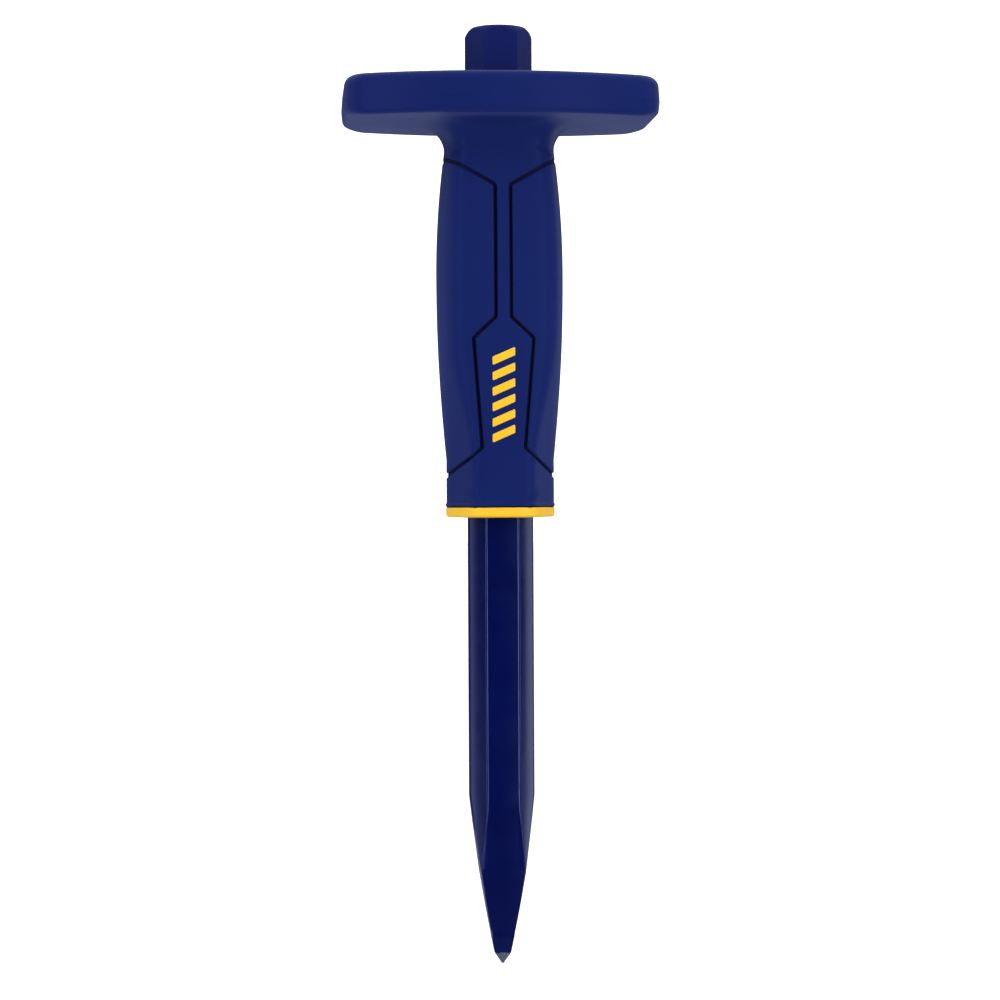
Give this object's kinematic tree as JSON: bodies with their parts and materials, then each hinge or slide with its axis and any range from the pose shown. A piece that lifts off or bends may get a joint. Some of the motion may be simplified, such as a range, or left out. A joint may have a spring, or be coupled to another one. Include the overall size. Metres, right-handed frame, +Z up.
{
  "type": "guarded point chisel",
  "caption": "Hexagonal steel point chisel with a crowned striking head, a wide soft hand guard, a moulded grip and a collar at its lower end.",
  "frame": {"origin": "the tip of the point, on the bar's axis", "axes": "+Z up the bar to the striking face, X along the long side of the hand guard, Y from the front to the back of the guard"},
  "size_m": [0.102, 0.064, 0.3048],
  "materials": {
    "painted_steel": "smooth dark blue paint on forged steel, bare ground steel at the tip",
    "grip_rubber": "fine matte texture, dark blue",
    "pad_rubber": "fine matte texture, dark blue",
    "yellow_plastic": "smooth yellow, satin",
    "core_plastic": "hard moulded plastic, not seen"
  },
  "bodies": {
    "root": {"chisel_bar": "painted_steel", "grip_core": "core_plastic", "guard_plate": "core_plastic", "guard_sleeve": "grip_rubber", "left_grip_pad": "pad_rubber", "right_grip_pad": "pad_rubber", "end_collar": "yellow_plastic", "index_stripes": "yellow_plastic"}
  },
  "joints": []
}
